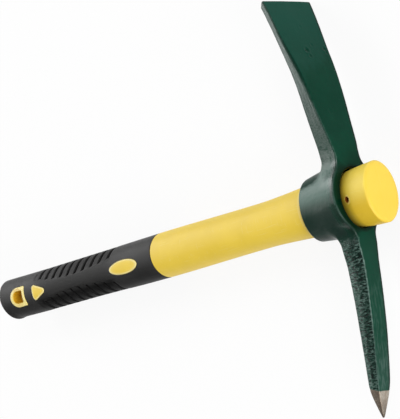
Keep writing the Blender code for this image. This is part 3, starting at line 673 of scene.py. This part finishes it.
def hang_d(size, grow=0.0):
    """A D with its straight side toward the head and a round side toward the butt."""
    flat, back, half = HANG_D + size[0] / 2 + grow, HANG_D - size[0] / 2 - grow, size[1] / 2 + grow
    sharp, full = HANG_D_CORNER + grow, min(half, size[0] / 2 + grow) - HANG_D_BACK
    corners = [(flat, half, sharp), (back, half, full), (back, -half, full), (flat, -half, sharp)]
    return rounded_outline(corners, OUTLINE_POINTS)


def solid_of(name, rings):
    """A closed solid of the jacket's plastic through the rings."""
    solid = piece_from(name, *loft(rings), jacket_finish)
    face_outward(solid)
    return solid


def at_height(outline, z):
    return np.column_stack([outline, np.broadcast_to(z, len(outline))])


def upright(name, outline):
    """A straight solid of the outline right through the handle, for cutting with."""
    return solid_of(name, [at_height(outline, z) for z in (-CUT_REACH, CUT_REACH)])


def round_edge(steps, span=math.pi / 2):
    """How far each step round an edge is drawn in and still has to rise, in shares of the radius."""
    return [(1 - math.cos(turn), 1 - math.sin(turn)) for turn in np.linspace(0, span, steps + 1)[1:]]


yellow = Finish("jacket_plastic", 0.55,
                patch_fineness=0.035, speck_fineness=0.6, speck_share=0.12, grain_fineness=2.2)
cap_face = yellow.x.past(CAP_LENGTH - 1.3, CAP_LENGTH - 0.3)
collar_edge_glint = abs(yellow.x + COLLAR_DEPTH + 3.0).until(0.2, 1.4)
from_hole = ((yellow.x - HANG_D) ** 2.0 + yellow.y ** 2.0) ** 0.5
shade_down_the_hole = from_hole.until(6.4, 8.0) * abs(yellow.z).until(13.6, 15.3)
shade_down_the_hole = shade_down_the_hole * (1 - yellow.pickward.past(3.4, 4.6) * 0.6)
from_pin = (((yellow.x - PIN_HOLE[0]) * PIN_HOLE_STRETCH) ** 2.0 + (yellow.y - PIN_HOLE[1]) ** 2.0) ** 0.5
pin_side = yellow.z.past(8, 12)
pin_rim_glint = abs(from_pin - 2.7).until(0.2, 0.8) * pin_side * (yellow.x - PIN_HOLE[0]).past(-0.8, 1.2)
near_eye = yellow.x.until(-2.0, 9.0 - yellow.y.past(-4, 8) * 5.0) * (1 - yellow.y.past(9, 18) * 0.5) * 0.88
near_eye = near_eye.at_least(yellow.pickward.past(-8, 6) * 0.13) * yellow.x.past(-4, -1) * (1 - cap_face)
yellow.start(yellow.patches, (0.805, 0.57, 0.047), (0.85, 0.61, 0.057))
yellow.coat(yellow.specks * 0.25, (0.48, 0.3, 0.06))
yellow.coat(yellow.scratches * 0.22, (0.9, 0.74, 0.3))
# Painted highlight: a thin pale line on the jacket where it leaves the collar
yellow.coat(collar_edge_glint * 0.25, (0.9, 0.76, 0.4))
# Painted light on the cap's side toward the blade, and painted shade, deeper orange, on its side toward the
# pick
yellow.coat(yellow.x.past(2, 5) * yellow.y.past(-6, 8) * 0.63, (0.985, 0.76, 0.11))
yellow.coat(yellow.x.past(2, 5) * yellow.y.until(-8, 2) * 0.7, (0.84, 0.545, 0.012))
yellow.coat(cap_face * 0.95, (0.8, 0.553, 0.044))
# Painted highlight: pale rims round the bosses and the hang hole
yellow.coat(yellow.mark("rim") * 0.7, (0.93, 0.84, 0.4))
# Painted shade: the walls down the hang hole deeper amber, less on the pick's side
yellow.coat(shade_down_the_hole * 0.85, (0.6, 0.31, 0.003))
# Painted shade: the jacket darkened next to the eye's face, reaching further along the cap on the pick's side
yellow.coat(near_eye, (0.05, 0.033, 0.001))
# Painted highlight: the pin hole's chamfer paler on its side toward the cap's end
yellow.coat(pin_rim_glint * 0.4, (0.9, 0.66, 0.3))
# Painted shade: the inside of the pin hole dark brown
yellow.coat(from_pin.until(1.9, 2.3) * pin_side * 0.95, (0.2, 0.04, 0.002))
seam = abs(yellow.z).until(0.05, 0.22)
jacket_finish = yellow.done(
    yellow.grain * 0.35 + seam * 0.9 - yellow.scratches * 0.5, 0.00006,
    {"Roughness": 0.42 + yellow.patches * 0.06 + yellow.scratches * 0.12 + yellow.grain * 0.06,
     "Specular IOR Level": 0.55 - near_eye * 0.45})

covered_end, shoulder, under_rubber = -BUTT + BUTT_WALL + GAP, -GRIP_EDGE + GAP, RUBBER + GAP / 2
rings = [oval_ring(x, grip_half(x, under_rubber)) for x in np.linspace(covered_end, shoulder - GAP, 60)]
rings += [oval_ring(shoulder, grip_half(-GRIP_EDGE, under_rubber)),
          oval_ring(shoulder, handle_half(shoulder) - SHOULDER_STEP)]
rings += [oval_ring(x, handle_half(x))
          for x in np.linspace(shoulder + SHOULDER_STEP, CAP_LENGTH - CAP_EDGE_RADIUS, 140)]
cap_half = handle_half(CAP_LENGTH)
for drawn, left in round_edge(8):
    rings.append(oval_ring(CAP_LENGTH - CAP_EDGE_RADIUS * left, cap_half - CAP_EDGE_DRAW * drawn))
for share in (0.93, 0.75, 0.5, 0.25, 0.06):
    rings.append(oval_ring(CAP_LENGTH, (cap_half - CAP_EDGE_DRAW) * share))
bow = MOUTH_BOW * np.cos(4 * np.pi * np.arange(AROUND) / AROUND)
for ring in rings:
    ring[:, 0] += bow * (1 - ease(abs(ring[0, 0] - shoulder) / MOUTH_FADE))
    into_cap = np.clip(ring[0, 0] / CAP_LENGTH, 0, 1)
    ring[:, 2] -= CAP_LEAN * into_cap
    bulge = CAP_BULGE * math.sin(math.pi * into_cap ** 0.7) / CAP_HALF[0]
    ring[:, 1] += bulge * np.minimum(ring[:, 1], 0)
jacket = solid_of("handle_jacket_moulding", rings)
core_room = [oval_ring(x, np.array(CORE_HALF) + GAP, 48) for x in (CORE_FROM - GAP, CORE_TO + GAP)]
cut_away(jacket, solid_of("core_room", core_room))
cut_away(jacket, upright("eyelet_way", hang_d(HANG_D_SIZE, 0.02)))
pin_top, pin_half = EYE_HALF[1] + 0.25, np.array([PIN_HOLE_RADIUS / PIN_HOLE_STRETCH, PIN_HOLE_RADIUS])
levels = [(PIN_HOLE_FLOOR, 0.0), (pin_top - PIN_HOLE_CHAMFER, 0.0), (pin_top, PIN_HOLE_CHAMFER),
          (pin_top + PIN_OVERRUN, PIN_HOLE_CHAMFER + PIN_OVERRUN)]
pin = [oval_ring(z, pin_half + grow, 40)[:, [1, 2, 0]] + [*PIN_HOLE, 0] for z, grow in levels]
cut_away(jacket, solid_of("pin", pin))
face_outward(jacket)
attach(jacket, "root")
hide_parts("handle_jacket")


# The bosses: parts of the jacket's moulding that stand up through windows in the rubber, on both sides
# of the grip: a D round the hang hole, an arrow and an oval. Their tops follow the grip's surface and
# stand a little proud of it, with a small round on every edge.
BOSS_PROUD, BOSS_EDGE, BOSS_ROOTS, EYELET_ROOT = 0.25, 0.45, (-3.6, -1.6), -9.0
ARROW, ARROW_SIZE, ARROW_CORNER, ARROW_POINTS = -318.3, (14.7, 10.8), 2.0, 72
OVAL, OVAL_SIZE, OVAL_DROP = -216.2, (30.4, 10.5), 0.6
FUNNEL_DEPTH, FUNNEL_WIDENING, FUNNEL_LIP = 3.6, 0.4, 0.4
RIM_SHARES = [0, 0, 0.4, 0.8, 1, 1, 1, 1, 0.15, 0, 0, 0]
EYELET_RIM_SHARES = RIM_SHARES[:8] + [1, 0.9, 0.8, 0.7, 0.6, 0.4, 0.2, 0, 0, 0, 0, 0]


def arrow(grow=0.0):
    """A rounded triangle that points along the handle toward the head."""
    base = ARROW - ARROW_SIZE[0] / 2
    half_tip = math.atan(ARROW_SIZE[1] / 2 / ARROW_SIZE[0])
    tip = base + ARROW_SIZE[0] + ARROW_CORNER * (1 / math.sin(half_tip) - 1) + grow / math.sin(half_tip)
    half, corner = (tip - base + grow) * math.tan(half_tip), ARROW_CORNER + grow
    corners = [(base - grow, -half, corner), (tip, 0, corner), (base - grow, half, corner)]
    return rounded_outline(corners, ARROW_POINTS)


def long_oval(grow=0.0):
    turn = 2 * np.pi * np.arange(OUTLINE_POINTS) / OUTLINE_POINTS
    half = (OVAL_SIZE[0] / 2 + grow, OVAL_SIZE[1] / 2 + grow)
    return np.stack([OVAL + half[0] * np.cos(turn), half[1] * np.sin(turn) - OVAL_DROP], 1)


def on_grip(outline, height):
    """The outline laid on the grip's surface, raised by the height."""
    half = np.array([grip_half(x) for x, _ in outline])
    z = half[:, 1] * np.sqrt(np.maximum(1 - (outline[:, 1] / half[:, 0]) ** 2, 0)) + height
    return np.column_stack([outline, z])


def draw_in(outline, amount):
    """The outline moved inward by the amount, square to itself."""
    along = np.roll(outline, -1, 0) - np.roll(outline, 1, 0)
    inward = np.stack([-along[:, 1], along[:, 0]], 1) / np.linalg.norm(along, axis=1)[:, None]
    return outline + inward * amount


def boss_rings(outline, top):
    """Rings up the wall of a boss and over its rounded edge."""
    rings = [on_grip(outline, height) for height in (*BOSS_ROOTS, top - BOSS_EDGE)]
    return rings + [on_grip(draw_in(outline, BOSS_EDGE * drawn), top - BOSS_EDGE * left)
                    for drawn, left in round_edge(5)]


def make_boss(name, outline, side):
    """One boss through its window, with the shares of its pale rim, a painted highlight, kept on its rings.
    """
    rings = boss_rings(outline, BOSS_PROUD)
    middle, edge = outline.mean(0), rings[-1][:, :2]
    rings += [on_grip(middle + (edge - middle) * share, BOSS_PROUD) for share in (0.85, 0.6, 0.35, 0.12)]
    boss = piece_from(name, *loft([ring * [1, 1, side] for ring in rings]), jacket_finish)
    store(boss, "rim", np.repeat(RIM_SHARES, len(outline)))
    face_outward(boss)
    return boss


lip = hang_d(HANG_HOLE_SIZE, FUNNEL_WIDENING)
outer = boss_rings(hang_d(HANG_D_SIZE), BOSS_PROUD)
rim = outer[-1][:, :2]
upper = [on_grip(hang_d(HANG_D_SIZE), EYELET_ROOT)] + outer
upper += [on_grip(blend(rim, draw_in(lip, -FUNNEL_LIP), share), BOSS_PROUD) for share in (0.3, 0.6, 1.0)]
upper += [on_grip(draw_in(lip, -FUNNEL_LIP * left), BOSS_PROUD - FUNNEL_LIP * drawn)
          for drawn, left in round_edge(4, span=1.1)]
funnel_top = upper[-1][:, 2]
for share in (0.25, 0.5, 0.75, 1.0):
    ring = hang_d(HANG_HOLE_SIZE, FUNNEL_WIDENING * (1 - share) ** 1.2)
    upper.append(at_height(ring, blend(funnel_top, WAIST_HALF[1] - FUNNEL_DEPTH, share)))
upper.append(at_height(hang_d(HANG_HOLE_SIZE), 5.0))
lower = [ring * [1, 1, -1] for ring in upper[::-1]]
eyelet = piece_from("hang_eyelet", *loft(upper + lower, closed=True), jacket_finish)
store(eyelet, "rim", np.repeat([0] + EYELET_RIM_SHARES + EYELET_RIM_SHARES[::-1] + [0], OUTLINE_POINTS))
face_outward(eyelet)
bosses = [eyelet]
for side, label in ((1, "near"), (-1, "far")):
    bosses.append(make_boss("arrow_boss_" + label, arrow(), side))
    bosses.append(make_boss("oval_boss_" + label, long_oval(), side))
for boss in bosses:
    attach(boss, "root")
    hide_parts("handle_jacket")


# The grip: a black rubber sleeve moulded over the hand end and closed over the butt. Two bands of ten
# slanted grooves, one above and one below, leave a smooth spine between them that widens toward both
# ends. The rule that shapes it is a node tree, and the windows are cut through it afterwards.
GROOVES = {"Groove Count": 10.0, "Groove Pitch": 9.2, "Groove Width": 3.4, "Groove Floor Width": 1.8,
           "Groove Depth": 1.3, "Groove Lean": 4.0, "First Groove": 236.1, "Spine": 5.0, "End Spine": 8.8,
           "Rib End Slope": 0.8, "Band Sink": 0.55}
GRIP_ROWS = {"wall": 8, "edge": 5, "plain": 40, "band": 300, "tail": 50, "round": 10, "flat": 6}
GRIP_AROUND, GRIP_EDGE_RADIUS, BAND_START, BAND_END = 144, 0.6, 228.0, 326.0


def make_grip_rule(finish):
    """A sleeve from one sheet of points: up the inside, over the open edge and back to the butt."""
    tree = bpy.data.node_groups.new("grip_rule", "GeometryNodeTree")
    tree.interface.new_socket("Geometry", in_out="OUTPUT", socket_type="NodeSocketGeometry")
    sizes = {}
    for name in GROOVES:
        socket = tree.interface.new_socket(name, in_out="INPUT", socket_type="NodeSocketFloat")
        sizes[name] = socket.identifier
    given = tree.nodes.new("NodeGroupInput").outputs
    count, pitch, width, floor_width, groove_depth, groove_lean, first, spine, end_spine, slope, band_sink = (
        Reading(tree, given[name]) for name in GROOVES)

    wall, edge, plain, band, tail, butt, flat = np.cumsum(list(GRIP_ROWS.values())).tolist()
    sheet = add_node(tree, "GeometryNodeMeshGrid", {"Size X": flat, "Size Y": GRIP_AROUND,
                                                    "Vertices X": flat + 1, "Vertices Y": GRIP_AROUND + 1})
    on_sheet = parts_of(tree, add_node(tree, "GeometryNodeInputPosition").outputs[0])
    row = on_sheet[0] + flat / 2
    turn = (on_sheet[1] + GRIP_AROUND / 2) * (2 * math.pi / GRIP_AROUND)
    bow = (turn * 2.0).cosine() * MOUTH_BOW

    def stretch(start, end, length):
        """Runs from nought to the length while the row goes from start to end."""
        return ((row - start) / (end - start)).kept_to_share() * length

    def half_sizes(from_eye, inset):
        share = (from_eye - GRIP_EDGE).past(0.0, WAIST - GRIP_EDGE)
        return [edge_half + share * (waist_half - edge_half) - inset
                for edge_half, waist_half in zip(EDGE_HALF, WAIST_HALF)]

    def bowed(from_eye):
        """How far the bow of the open edge moves a place along the handle."""
        return bow * (from_eye - GRIP_EDGE).until(0.0, MOUTH_FADE)

    edge_turn, butt_turn = stretch(wall, edge, math.pi / 2), stretch(tail, butt, math.pi / 2)
    along = stretch(edge, plain, BAND_START - GRIP_EDGE - GRIP_EDGE_RADIUS)
    along = along + stretch(plain, band, BAND_END - BAND_START)
    along = along + stretch(band, tail, BUTT - BUTT_RADIUS - BAND_END)
    from_eye = along + GRIP_EDGE + (1 - edge_turn.cosine()) * GRIP_EDGE_RADIUS
    inset = (1 - edge_turn.sine()) * GRIP_EDGE_RADIUS + (1 - butt_turn.cosine()) * BUTT_RADIUS
    half_length, half_width = half_sizes(from_eye, inset)
    keep = 1 - stretch(butt, flat, 1.0)
    y = half_length * turn.cosine() * keep
    z = half_width * turn.sine() * keep

    last = first + (count - 1) * pitch
    nearest = ((from_eye - first) / pitch).rounded().at_least(0.0).at_most(count - 1)
    off_groove = abs(from_eye - first - nearest * pitch)
    in_groove = 1 - ((off_groove - floor_width / 2) / ((width - floor_width) / 2)).kept_to_share()
    along_band = abs((from_eye - first) / (last - first) * 2 - 1).at_most(1.0)
    off_spine = (abs(y) - (spine + (end_spine - spine) * along_band * along_band)).past(0.0, slope)
    outside = (first - from_eye).at_least(from_eye - last).at_least(0.0)
    in_band = (first - from_eye + 4.2).at_least(from_eye - last).until(6.4, 7.8)
    off_top = 1 - ((abs(y) - spine) / (half_length - spine).at_least(1.0)).kept_to_share()
    depth = groove_depth * in_groove + band_sink * in_band * (0.2 + off_top * 0.8)
    sink = 1 - depth * off_spine / half_length.at_least(1.0)
    lean = (1 - off_top * off_top) * groove_lean * outside.until(5.0, 26.0)
    x = lean - from_eye - butt_turn.sine() * BUTT_RADIUS + bowed(from_eye)
    x = x - (y * 0.08 + y.at_most(0.0) * 0.06) * (from_eye - 345.0).past(0.0, 25.0)
    y = y * sink + from_eye.past(200.0, 280.0) * 0.35 + from_eye.past(325.0, 368.0) * 0.45
    y = y + y.at_most(0.0) * from_eye.past(360.0, 367.5) * 0.045

    inner_end = BUTT - BUTT_WALL
    inner_from_eye = inner_end - stretch(1, wall, inner_end - GRIP_EDGE)
    inner_half = half_sizes(inner_from_eye, RUBBER - GAP / 2)
    opened = stretch(0, 1, 1.0)
    inner = (bowed(inner_from_eye) - inner_from_eye, inner_half[0] * turn.cosine() * opened,
             inner_half[1] * turn.sine() * opened)
    on_outside = row.above(wall + 0.5)
    place = vector_of(tree, [(a + (b - a) * on_outside + float(middle)) * MM
                             for a, b, middle in zip(inner, (x, y, z * sink), EYE)])

    marked = add_node(tree, "GeometryNodeStoreNamedAttribute", {
        "Geometry": sheet.outputs["Mesh"], "Name": "groove", "Value": in_groove * off_spine * on_outside},
        data_type="FLOAT", domain="POINT")
    moved = add_node(tree, "GeometryNodeSetPosition", {"Position": place})
    merged = add_node(tree, "GeometryNodeMergeByDistance", {"Distance": 1e-6})
    smooth, real = (add_node(tree, "GeometryNode" + kind) for kind in ("SetShadeSmooth", "RealizeInstances"))
    dressed = add_node(tree, "GeometryNodeSetMaterial", {"Material": finish})
    end = marked
    for node in (moved, merged, smooth, real, dressed, add_node(tree, "NodeGroupOutput")):
        join(tree, end.outputs[0], node.inputs[0])
        end = node
    return tree, sizes


rubber = Finish("grip_rubber", 0.36,
                patch_fineness=0.04, speck_fineness=0.8, speck_share=0.25, grain_fineness=2.6)
ribbed = rubber.buttward.past(226, 236) * rubber.buttward.until(318, 328) * abs(rubber.y).past(4, 9)
shaded_low_band = ribbed * rubber.pickward.past(-2, 4)
groove_shade = rubber.mark("groove") * 0.9
rubber.start(rubber.patches, (0.01, 0.01, 0.0098), (0.016, 0.0158, 0.0152))
rubber.coat(ribbed * 0.8, (0.006, 0.006, 0.0058))
# Painted shade: the lower band of grooves darker
rubber.coat(shaded_low_band * 0.6, (0.002, 0.002, 0.002))
# Painted shade: the grooves darkened almost to black
rubber.coat(groove_shade, (0.0012, 0.0012, 0.0012))
rubber.coat(rubber.specks * 0.25, (0.06, 0.058, 0.054))
rubber.coat(rubber.scratches * 0.2, (0.05, 0.049, 0.046))
worn = rubber.buttward.past(226, 240) * rubber.buttward.until(312, 328)
matt = (worn * 0.36).at_least(ribbed * 0.5).at_least(shaded_low_band * 0.8).at_least(groove_shade)
matt = matt.at_least((-rubber.facing[1]).past(0.35, 0.8) * 0.75)
grip_finish = rubber.done(
    rubber.grain * 0.8 + rubber.patches * 0.3 - rubber.scratches * 0.5, 0.00008,
    {"Roughness": 0.38 + rubber.patches * 0.08 + rubber.grain * 0.14,
     "Specular IOR Level": 0.36 - matt * 0.36})
grip_rule, grip_sizes = make_grip_rule(grip_finish)
grip = piece_from("rubber_grip_sleeve", [(0, 0, 0), (1, 0, 0), (0, 1, 0)], [(0, 1, 2)], grip_finish)
step = grip.modifiers.new("grip_rule", "NODES")
step.node_group = grip_rule
for name, value in GROOVES.items():
    step[grip_sizes[name]] = value
bake(grip, step)
face_outward(grip)
for name, outline in (("hang_window", hang_d(HANG_D_SIZE, GAP)), ("arrow_window", arrow(GAP)),
                      ("oval_window", long_oval(GAP))):
    cut_away(grip, upright(name, outline))
grip.data.set_sharp_from_angle(angle=math.radians(50))
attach(grip, "root")
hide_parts("rubber_grip")


# The table that the mattock lies on, the lamps and the camera: a plain pale sheet, pale air all round,
# and four soft boxes. Two stand on the butt's side, the broad one dimmer toward its low end, and two
# smaller ones on the cap's side, one toward the blade and one toward the pick.
TABLE_GLOW = 0.9


def make_table():
    body = bmesh.new()
    bmesh.ops.create_grid(body, x_segments=8, y_segments=8, size=4.0)
    mesh = bpy.data.meshes.new("table_top")
    body.to_mesh(mesh)
    body.free()
    top = bpy.data.objects.new("table_top", mesh)
    top.location = (0, 0, cad_low.z - 0.0004)
    bpy.context.scene.collection.objects.link(top)
    pale = bpy.data.materials.new("pale_table")
    pale.use_nodes = True
    tree = pale.node_tree
    matt = tree.nodes["Principled BSDF"]
    matt.inputs["Base Color"].default_value = (0.93, 0.93, 0.93, 1)
    matt.inputs["Roughness"].default_value = 0.9
    matt.inputs["Specular IOR Level"].default_value = 0.0
    white, mixed = tree.nodes.new("ShaderNodeEmission"), tree.nodes.new("ShaderNodeMixShader")
    rays = tree.nodes.new("ShaderNodeLightPath")
    seen = Reading(tree, rays.outputs["Is Camera Ray"]) + Reading(tree, rays.outputs["Is Glossy Ray"])
    seen = (seen + Reading(tree, rays.outputs["Is Transmission Ray"])).kept_to_share()
    join(tree, seen * TABLE_GLOW, mixed.inputs[0])
    join(tree, matt.outputs[0], mixed.inputs[1])
    join(tree, white.outputs[0], mixed.inputs[2])
    join(tree, mixed.outputs[0], tree.nodes["Material Output"].inputs["Surface"])
    mesh.materials.append(pale)
    return top


def soft_box(name, toward, away, wide, tall, glow, low_end=1.0):
    """An area lamp of the given radiance that shines on the eye from a direction, dimmer at its low end."""
    lamp = bpy.data.lights.new(name, "AREA")
    lamp.shape, lamp.size, lamp.size_y = "RECTANGLE", wide, tall
    lamp.energy = glow * math.pi * wide * tall
    if low_end < 1:
        lamp.use_nodes = True
        tree = lamp.node_tree
        place = parts_of(tree, tree.nodes.new("ShaderNodeNewGeometry").outputs["Parametric"])
        rise = place[1].past(0.25, 0.85)
        join(tree, rise * (1 - low_end) + low_end, tree.nodes["Emission"].inputs["Strength"])
    box = bpy.data.objects.new(name, lamp)
    back = Vector(toward).normalized()
    across = Vector((0, 1, 0)).cross(back).normalized()
    turned = Matrix((across, back.cross(across), back)).transposed()
    box.matrix_world = Matrix.Translation(Vector(EYE * MM) + back * away) @ turned.to_4x4()
    bpy.context.scene.collection.objects.link(box)
    return box


make_table()
soft_box("key_box", (-0.843, 0.35, 0.393), 3.0, 2.4, 2.8, 3.3, 0.34)
soft_box("high_box", (-0.6, 0.2, 0.765), 3.0, 0.7, 3.2, 2.4)
soft_box("top_box", (0.5, 0.56, 0.66), 3.0, 1.6, 1.6, 3.8)
soft_box("side_box", (0.8, -0.5, 0.33), 3.0, 2.2, 2.2, 5.2)
world = bpy.data.worlds.new("air")
world.use_nodes = True
world.node_tree.nodes["Background"].inputs["Color"].default_value = (1, 1, 1, 1)
world.node_tree.nodes["Background"].inputs["Strength"].default_value = 0.26
bpy.context.scene.world = world

CAMERA_PLACE, IMAGE_HEIGHT, FOCAL_PIXELS, SENSOR = (561.29, -65.46, 745.81), 419, 1430, 36.0
CAMERA_RIGHT, CAMERA_UP = (0.69577, -0.2266, -0.68158), (0.22412, 0.97005, -0.09372)
CAMERA_BACK = (0.6824, -0.08755, 0.72572)
camera = bpy.data.objects.new("camera", bpy.data.cameras.new("camera"))
turned = Matrix((CAMERA_RIGHT, CAMERA_UP, CAMERA_BACK)).transposed()
camera.matrix_world = Matrix.Translation(Vector((EYE + CAMERA_PLACE) * MM)) @ turned.to_4x4()
camera.data.sensor_width, camera.data.lens = SENSOR, SENSOR * FOCAL_PIXELS / IMAGE_HEIGHT
camera.data.clip_start, camera.data.clip_end = 0.05, 20
bpy.context.scene.collection.objects.link(camera)
bpy.context.scene.camera = camera
bpy.context.scene.view_settings.view_transform = "Standard"
